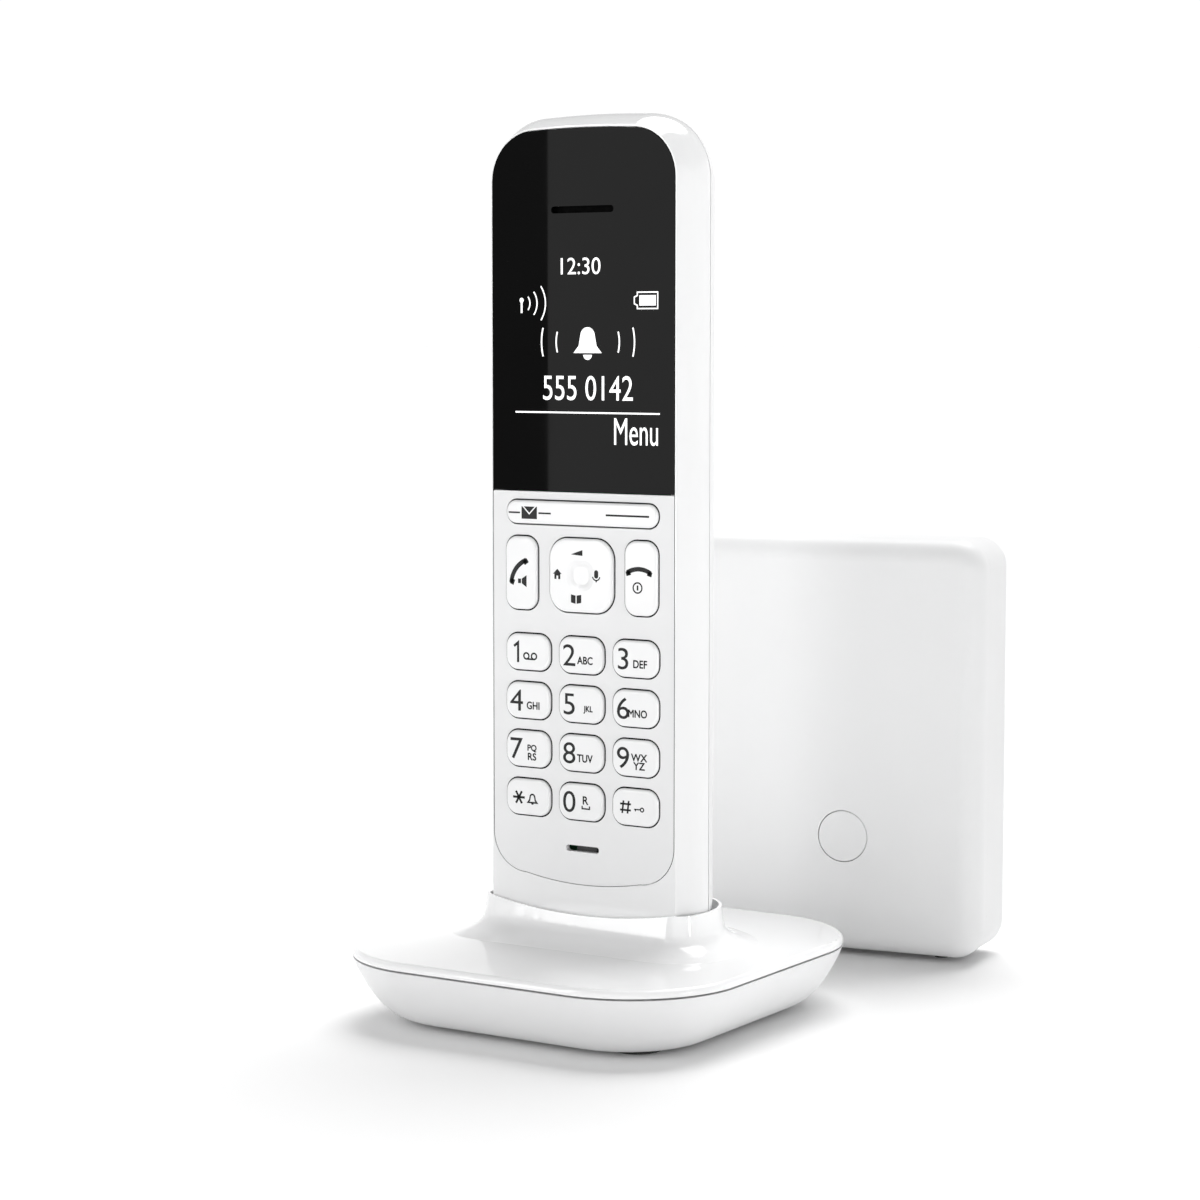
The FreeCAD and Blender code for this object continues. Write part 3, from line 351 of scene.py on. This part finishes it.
# ---- pictures used on keys and display -------------------------------------------------------
def hung_handset(x, z, width):
    """A telephone handset lying on its ends: an arch with two thick feet."""
    radius = width * 0.87
    bow = arc(x, z + width * 0.075 - radius, radius, 122, 58, 18)
    feet = []
    for side in (-1, 1):
        foot = rectangle(-0.09 * width, -0.075 * width, 0.09 * width, 0.075 * width)
        feet += moved(turned(foot, side * -16, 0, 0), x + side * width * 0.41, z - width * 0.075)
    return ribbon(bow, width * 0.15) + feet


def loudspeaker(x, z, height):
    """A small box with a cone."""
    half = height / 2
    return (rectangle(x - half * 0.95, z - half * 0.38, x - half * 0.35, z + half * 0.38)
            + [[(x - half * 0.2, z - half * 0.4), (x + half * 0.75, z - half), (x + half * 0.75, z + half),
                (x - half * 0.2, z + half * 0.4)]])


def house(x, z, width):
    """A roof over two walls with a door between them."""
    half = width / 2
    return ([[(x - half, z), (x + half, z), (x, z + half)]]
            + rectangle(x - half * 0.68, z - half, x - half * 0.2, z)
            + rectangle(x + half * 0.2, z - half, x + half * 0.68, z)
            + rectangle(x - half * 0.2, z - half * 0.35, x + half * 0.2, z))


def microphone(x, z, height):
    """A capsule in a cup on a stem."""
    half = height / 2
    capsule = arc(x, z + half * 0.62, half * 0.4, 0, 180, 10)
    capsule += arc(x, z + half * 0.02, half * 0.4, 180, 360, 10)
    cup = arc(x, z + half * 0.02, half * 0.72, 190, 350, 14)
    stem = rectangle(x - half * 0.12, z - half, x + half * 0.12, z - half * 0.6)
    return [capsule] + ribbon(cup, half * 0.22) + stem


def open_book(x, z, width):
    """Two pages that meet at the spine."""
    half = width / 2
    pages = []
    for side in (-1, 1):
        inner, outer = x + side * half * 0.1, x + side * half
        pages.append([(inner, z - half * 0.8), (outer, z - half * 0.62), (outer, z + half * 0.72),
                      (inner, z + half * 0.56)][::side])
    return pages


def envelope(x, z, width, height):
    """A closed envelope: a flap over a body, with a fine line between them."""
    half, tall = width / 2, height / 2
    flap = [(x - half * 0.72, z + tall), (x, z - tall * 0.02), (x + half * 0.72, z + tall)]
    body = [(x - half, z - tall), (x + half, z - tall), (x + half, z + tall), (x + half * 0.9, z + tall),
            (x, z - tall * 0.32), (x - half * 0.9, z + tall), (x - half, z + tall)]
    left, right = [body[i] for i in (0, 4, 5, 6)], [body[i] for i in (0, 1, 4)]
    rest = [body[i] for i in (1, 2, 3, 4)]
    return [flap, left, right, rest]


def voicemail(x, z, width):
    """Two rings on one line."""
    radius = width * 0.2
    rings = [ribbon(arc(x + side * (width / 2 - radius), z, radius, 0, 360, 20)[:-1], width * 0.11, True)
             for side in (-1, 1)]
    line = rectangle(x - width / 2 + radius, z - radius - width * 0.055, x + width / 2 - radius,
                     z - radius + width * 0.055)
    return rings[0] + rings[1] + line


def bell(x, z, height, filled=False):
    """A bell with its clapper; z is the middle."""
    half = height / 2
    top = arc(x, z + half * 0.38, half * 0.5, 20, 160, 12)
    skirt = [(x - half * 0.62, z - half * 0.2), (x - half * 0.98, z - half * 0.62),
             (x + half * 0.98, z - half * 0.62), (x + half * 0.62, z - half * 0.2)]
    clapper = arc(x, z - half * 0.72, half * 0.3, 180, 360, 10)
    if filled:
        return [top + skirt, clapper]
    return ribbon(top + skirt, height * 0.15, True) + [clapper]


def small_key(x, z, width):
    """A door key lying level: bit at the left, ring at the right."""
    radius = width * 0.17
    ring = ribbon(arc(x + width / 2 - radius, z, radius, 0, 360, 18)[:-1], width * 0.12, True)
    shaft = rectangle(x - width / 2, z - width * 0.06, x + width / 2 - radius * 1.9, z + width * 0.06)
    bit = rectangle(x - width * 0.42, z - width * 0.17, x - width * 0.3, z - width * 0.03)
    return ring + shaft + bit


def asterisk(x, z, size):
    """Three crossing lines."""
    bars = []
    for angle in (0, 60, 120):
        bars += turned(rectangle(x - size / 2, z - 0.22, x + size / 2, z + 0.22), angle, x, z)
    return bars


def hash_mark(x, z, size):
    """Two leaning uprights crossed by two bars."""
    half = size / 2
    lines = []
    for shift in (-0.24, 0.24):
        foot, head = x + shift * size - half * 0.12, x + shift * size + half * 0.12
        lines += ribbon([(foot, z - half), (head, z + half)], 0.38)
        lines += rectangle(x - half, z + shift * size - 0.18, x + half, z + shift * size + 0.18)
    return lines


# ---- prints on the keys ----------------------------------------------------------------------
def print_material():
    """Black printing ink."""
    material, tree, shader = new_material("print_black", Specular_IOR_Level=0.3)
    spots = noise(tree, 900.0)
    drive(tree, shader, "Base Color", spots, [(0.3, grey(0.006)), (0.7, grey(0.014))])
    drive(tree, shader, "Roughness", spots, [(0.3, grey(0.4)), (0.7, grey(0.55))])
    return material


def pixel_material():
    """The lit white of the display's graphics."""
    material, tree, shader = new_material("display_light", Roughness=0.4, Emission_Strength=0.95)
    glow = noise(tree, 300.0)
    drive(tree, shader, "Emission Color", glow, [(0.3, (0.94, 0.95, 0.96)), (0.7, grey(1.0))])
    drive(tree, shader, "Base Color", glow, [(0.3, grey(0.5)), (0.7, grey(0.56))])
    return material


PRINT = print_material()
PIXELS = pixel_material()

# Sizes of the key prints, and places from the key's middle.
DIGIT_HEIGHT, DIGIT_LOW, DIGIT_X, DIGIT_SQUEEZE = 4.05, -2.05, -2.5, 1.1
LETTERS_BOLDER = 0.05
LETTER_HEIGHT, LETTER_LOW, LETTER_RIGHT, LETTER_SQUEEZE = 1.42, -1.6, 2.72, 0.88
ROW_HEIGHT, UPPER_ROW_LOW, LOWER_ROW_LOW, ROW_MIDDLE = 1.36, -0.52, -2.1, 1.03
LETTERS = {"key_2": "ABC", "key_3": "DEF", "key_4": "GHI", "key_5": "JKL", "key_6": "MNO", "key_8": "TUV"}
TWO_ROWS = {"key_7": ("PQ", "RS"), "key_9": ("WX", "YZ")}


def key_middle(name):
    """A key's middle X and Z in millimetres."""
    centre = middle(name) / MM
    return centre.x, centre.z


def one():
    """The digit one: an upright with a flag and no foot."""
    top = DIGIT_LOW + DIGIT_HEIGHT
    return ribbon([(-3.05, top - 1.0), (-2.12, top - 0.28), (-2.12, DIGIT_LOW)], 0.5)


def digit_legend(name):
    """A digit at the left of its key, and letters or a picture at its right."""
    mark = name[len("key_"):]
    if mark == "star":
        return asterisk(-2.0, -0.13, 2.7) + bell(1.1, -0.32, 2.1)
    if mark == "hash":
        return hash_mark(-1.95, 0.0, 2.4) + small_key(1.0, -0.28, 2.1)
    if mark == "1":
        return one() + voicemail(0.65, -0.75, 2.9)
    shapes = lettering(mark, DIGIT_HEIGHT, DIGIT_X, DIGIT_LOW, squeeze=DIGIT_SQUEEZE)
    if mark == "0":
        bracket = [(0.4, -0.6), (0.4, -1.15), (2.05, -1.15), (2.05, -0.6)]
        shapes += lettering("R", 1.5, 1.15, -0.31, bolder=LETTERS_BOLDER) + ribbon(bracket, 0.28)
    if name in LETTERS:
        shapes += lettering(LETTERS[name], LETTER_HEIGHT, LETTER_RIGHT, LETTER_LOW, "RIGHT", LETTER_SQUEEZE,
                            LETTERS_BOLDER)
    if name in TWO_ROWS:
        upper, lower = TWO_ROWS[name]
        for words, low in ((upper, UPPER_ROW_LOW), (lower, LOWER_ROW_LOW)):
            shapes += lettering(words, ROW_HEIGHT, ROW_MIDDLE, low, bolder=LETTERS_BOLDER)
    return shapes


def function_legends():
    """The pictures on the talk, end and navigation keys and the softkey bar, about each one's middle."""
    talk = turned(hung_handset(0, 0, 6.0), 52, 0, 0)
    return {
        "talk_key": moved(talk, -0.7, 0.5) + loudspeaker(0.5, -1.55, 2.3),
        "end_key": (hung_handset(-0.25, 1.35, 5.66) + rectangle(-0.72, -2.2, -0.38, -1.25)
                    + ribbon(arc(-0.55, -1.72, 0.95, 0, 360, 28)[:-1], 0.28, True)),
        "navigation_key": ([[(-2.15, 3.95), (0.49, 3.75), (0.49, 4.85)]] + house(-5.15, 0.15, 1.95)
                           + microphone(3.55, 0.05, 2.25) + open_book(-0.93, -4.4, 2.3)),
        "softkey_bar": (rectangle(-16.2, -0.3, -13.6, 0.02) + envelope(-11.5, -0.12, 3.5, 2.35)
                        + rectangle(-9.4, -0.3, -6.6, 0.02) + rectangle(5.65, -0.25, 15.15, 0.12)),
    }


def key_prints():
    """One thin print on every key."""
    digit_keys = [name for name in NODES if name.startswith("key_") and name != "key_domes"]
    legends = {name: digit_legend(name) for name in digit_keys}
    legends.update(function_legends())
    for name, shapes in legends.items():
        x, z = key_middle(name)
        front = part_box(name)[0].y
        ink("print_" + name, moved(shapes, x, z), front, name, PRINT)


# Middles of the display's two wave pictures and of its bell, from the handset's middle and lower end.
MAST_X, WAVES_Z = -13.6, 120.4
BELL_X, BELL_Z, RINGING_Z = 1.2, 113.1, 113.15


def display_graphics():
    """What the lit display shows: time, reception, battery, a ringing bell, a number and a menu."""
    shapes = lettering("12:30", 3.1, -0.35, 125.7)
    shapes += disc(MAST_X, 121.0, 0.45) + rectangle(MAST_X - 0.2, 118.6, MAST_X + 0.2, 121.0)
    for reach, spread in ((1.9, 40), (3.5, 38), (5.4, 36)):
        shapes += ribbon(arc(MAST_X, WAVES_Z, reach, -spread, spread, 12), 0.26)
    outline = [(12.1, 119.3), (16.5, 119.3), (16.5, 122.3), (12.1, 122.3), (12.1, 121.7), (11.45, 121.4),
               (11.45, 120.2), (12.1, 119.9)]
    shapes += ribbon(outline, 0.24, True) + rectangle(12.55, 119.85, 16.1, 121.75)
    shapes += bell(BELL_X, BELL_Z, 6.4, filled=True)
    for facing in (180, 0):
        for reach, spread in ((7.0, 16), (10.3, 15)):
            shapes += ribbon(arc(BELL_X, RINGING_Z, reach, facing - spread, facing + spread, 12), 0.3)
    shapes += lettering("555 0142", 4.6, 1.2, 102.3, squeeze=0.82)
    shapes += rectangle(-15.05, 99.85, 17.0, 100.15)
    shapes += lettering("Menu", 5.0, 16.6, 94.1, "RIGHT", 0.62)
    shapes = [placed_on_handset(shape) for shape in shapes]
    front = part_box("display_window")[0].y
    ink("display_graphics", shapes, front, "handset", PIXELS)


# ---- painted shade in the joints round the keys and the face ---------------------------------
def rounded(x, z, width, height, radius):
    """The points of a rounded rectangle."""
    points = []
    for side_x, side_z, start in ((1, 1, 0), (-1, 1, 90), (-1, -1, 180), (1, -1, 270)):
        points += arc(x + side_x * (width / 2 - radius), z + side_z * (height / 2 - radius), radius, start,
                      start + 90, 8)
    return points


def gap_shade_ring(name, inner, outer, depths, body):
    """A dark ring of painted shade that fills the narrow joint between two outlines, between two depths
    behind the face.
    """
    made = bmesh.new()
    loops = []
    for depth in depths:
        for outline in (inner, outer):
            loops.append([made.verts.new((px * MM, H.y + depth * MM, pz * MM)) for px, pz in outline])
    count = len(inner)
    near_inner, near_outer, far_inner, far_outer = range(4)
    walls = ((near_inner, near_outer), (near_outer, far_outer),
             (far_outer, far_inner), (far_inner, near_inner))
    for a, b in walls:
        for i in range(count):
            j = (i + 1) % count
            made.faces.new((loops[a][i], loops[a][j], loops[b][j], loops[b][i]))
    bmesh.ops.recalc_face_normals(made, faces=made.faces)
    mesh = bpy.data.meshes.new(name)
    made.to_mesh(mesh)
    made.free()
    mesh.materials.append(GAP_SHADE)
    piece = bpy.data.objects.new(name, mesh)
    bpy.context.scene.collection.objects.link(piece)
    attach(piece, body)


# A near-black material for painted shade: rings of it fill the narrow gaps, which are dark only from shade.
GAP_SHADE = moulded_plastic("gap_shade_dark", grey(0.004), 0.7, 2600.0, 0.1, 0.002, Specular_IOR_Level=0.15)
GAP_SHADE_DEPTHS = (0.03, 0.3)
FLANGE_WIDER = 0.45
KEY_RADII = {"softkey_bar": 2.1, "navigation_key": 3.9}
PUSH_RADIUS = 2.5
ROCKERS = ("softkey_bar", "navigation_key")
# From where to where a ring fills the gap, outwards from the key's side.
ROCKER_REACH, PUSH_REACH = (0.006, 0.16), (0.006, 0.272)


def key_gap_shades():
    """The dark line of painted shade round every key, in its gap in the panel."""
    for entry in frame["record"]["subparts"]:
        if entry["material_slot"] != "key_plastic":
            continue
        name = entry["node"]
        low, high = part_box(name)
        x, z = key_middle(name)
        width = (high.x - low.x) / MM - 2 * FLANGE_WIDER
        height = (high.z - low.z) / MM - 2 * FLANGE_WIDER
        radius = KEY_RADII.get(name, PUSH_RADIUS)
        rocks = name in ROCKERS
        reach = ROCKER_REACH if rocks else PUSH_REACH
        inner, outer = (rounded(x, z, width + 2 * r, height + 2 * r, radius + r) for r in reach)
        gap_shade_ring("gap_shade_" + name, inner, outer, GAP_SHADE_DEPTHS, name if rocks else "handset")


FACE_HALF_WIDTH, FACE_LOW, FACE_HIGH = 20.15, 12.3, 152.65
FACE_LOW_CORNER, FACE_HIGH_CORNER = 7.35, 9.25
FACE_LOW_CROWN, FACE_HIGH_CROWN = 1.3, 0.3
FACE_GAP = 0.15
FACE_CLEARANCE = 0.008
BOW_STEPS = 24


def bowed(x0, x1, z, rise):
    """Points between two X at the height z, along a shallow bow; the ends are left out."""
    middle_x, half = (x0 + x1) / 2, abs(x1 - x0) / 2
    runs = [x0 + (x1 - x0) * i / BOW_STEPS for i in range(1, BOW_STEPS)]
    return [(x, z + rise * (1 - ((x - middle_x) / half) ** 2)) for x in runs]


def face_outline(grow):
    """The outline of window and panel together, grown by an amount."""
    half, low, high = FACE_HALF_WIDTH + grow, FACE_LOW - grow, FACE_HIGH + grow
    below, above = FACE_LOW_CORNER + grow, FACE_HIGH_CORNER + grow
    points = arc(half - above, high - above, above, 0, 90)
    points += bowed(half - above, above - half, high, FACE_HIGH_CROWN)
    points += arc(above - half, high - above, above, 90, 180)
    points += arc(below - half, low + below, below, 180, 270)
    points += bowed(below - half, half - below, low, -FACE_LOW_CROWN)
    points += arc(half - below, low + below, below, 270, 360)
    return placed_on_handset(points)


def face_gap_shade():
    """The fine dark line of painted shade between the frame and the window and panel."""
    inner, outer = face_outline(FACE_CLEARANCE), face_outline(FACE_GAP - FACE_CLEARANCE)
    gap_shade_ring("gap_shade_face", inner, outer, GAP_SHADE_DEPTHS, "handset")


key_prints()
display_graphics()
key_gap_shades()
face_gap_shade()


# ---- stage, in metres ------------------------------------------------------------------------
FLOOR_REACH = 40.0
ROOM = 1.04
# The light above: irradiance, and degrees of spread and of turn about X and Y.
SKY, SKY_SPREAD, SKY_TURN_X, SKY_TURN_Y = 2.5, 45, -26, -4
# Each softbox: radiance, place and target from H, width, height.
FRONT_LEFT = (4.2, (-0.44, -0.8, 0.45), (-0.44, 0, 0.45), 0.2, 1.0)
FRONT_RIGHT = (0.7, (0.45, -1.1, 0.1), (0.03, 0, 0.06), 0.8, 0.8)
BEAM = (0.5, (0.5, -0.035, 0.08), (0, 0.005, 0.08), 0.05, 0.25)
BEAM_SPREAD = 20

# The camera: degrees, metres, and millimetres for the lens and the sensor.
AZIMUTH, ELEVATION, DISTANCE = 32.64, 5.03, 0.5558
FOCAL_LENGTH, SENSOR_WIDTH = 89.16, 36.0
NEAREST = 0.01


def floor():
    """One large pale sheet under everything."""
    corners = [(-1, -1), (1, -1), (1, 1), (-1, 1)]
    mesh = bpy.data.meshes.new("floor")
    mesh.from_pydata([(FLOOR_REACH * x, FLOOR_REACH * y, 0) for x, y in corners], [], [(0, 1, 2, 3)])
    made = bpy.data.objects.new("floor", mesh)
    bpy.context.scene.collection.objects.link(made)
    material, tree, shader = new_material("floor_paper", Roughness=0.8, Specular_IOR_Level=0.1)
    paper = noise(tree, 6.0)
    drive(tree, shader, "Base Color", paper, [(0.0, grey(0.945)), (1.0, grey(0.955))])
    mesh.materials.append(material)


def softbox(name, radiance, place, target, width, height, spread=180):
    """A rectangular studio light of an even brightness, aimed at a point, fanning out by some degrees."""
    place, target = H + Vector(place), H + Vector(target)
    light = bpy.data.lights.new(name, "AREA")
    light.shape = "RECTANGLE"
    light.size, light.size_y = width, height
    light.energy = radiance * width * height * math.pi
    light.spread = math.radians(spread)
    made = bpy.data.objects.new(name, light)
    made.location = place
    made.rotation_euler = (target - place).to_track_quat("-Z", "Y").to_euler()
    made.visible_camera = False
    bpy.context.scene.collection.objects.link(made)


def sky_light():
    """A wide soft light from above."""
    light = bpy.data.lights.new("light_above", "SUN")
    light.energy = SKY
    light.angle = math.radians(SKY_SPREAD)
    made = bpy.data.objects.new("light_above", light)
    made.rotation_euler = (math.radians(SKY_TURN_X), math.radians(SKY_TURN_Y), 0)
    bpy.context.scene.collection.objects.link(made)


def white_room():
    """A room that is white near the horizon and dimmer overhead."""
    world = bpy.data.worlds.new("studio")
    bpy.context.scene.world = world
    world.use_nodes = True
    tree = world.node_tree
    place = node(tree, "ShaderNodeTexCoord")
    parts = node(tree, "ShaderNodeSeparateXYZ")
    tree.links.new(place.outputs["Generated"], parts.inputs["Vector"])
    stops = [(0.0, grey(1.0)), (0.25, grey(1.0)), (0.36, grey(0.4)), (1.0, grey(0.2))]
    shade = ramp(tree, parts.outputs["Z"], stops)
    background = tree.nodes["Background"]
    tree.links.new(shade, background.inputs["Color"])
    background.inputs["Strength"].default_value = ROOM


def studio():
    """The white room, a wide light above, two softboxes in front and a narrow beam from the right."""
    white_room()
    sky_light()
    softbox("light_front_left", *FRONT_LEFT)
    softbox("light_front_right", *FRONT_RIGHT)
    softbox("light_right", *BEAM, spread=BEAM_SPREAD)


def camera():
    """A long lens from the front right, a little above the handset's middle."""
    azimuth, elevation = math.radians(AZIMUTH), math.radians(ELEVATION)
    target = on_handset(3.95, 0.0, 65.1)
    back = Vector((math.sin(azimuth) * math.cos(elevation), -math.cos(azimuth) * math.cos(elevation),
                   math.sin(elevation)))
    lens = bpy.data.cameras.new("camera")
    lens.sensor_width = SENSOR_WIDTH
    lens.lens = FOCAL_LENGTH
    lens.clip_start = NEAREST
    made = bpy.data.objects.new("camera", lens)
    made.location = target + back * DISTANCE
    made.rotation_euler = (-back).to_track_quat("-Z", "Y").to_euler()
    bpy.context.scene.collection.objects.link(made)
    bpy.context.scene.camera = made


floor()
studio()
camera()
bpy.context.scene.view_settings.view_transform = "Standard"
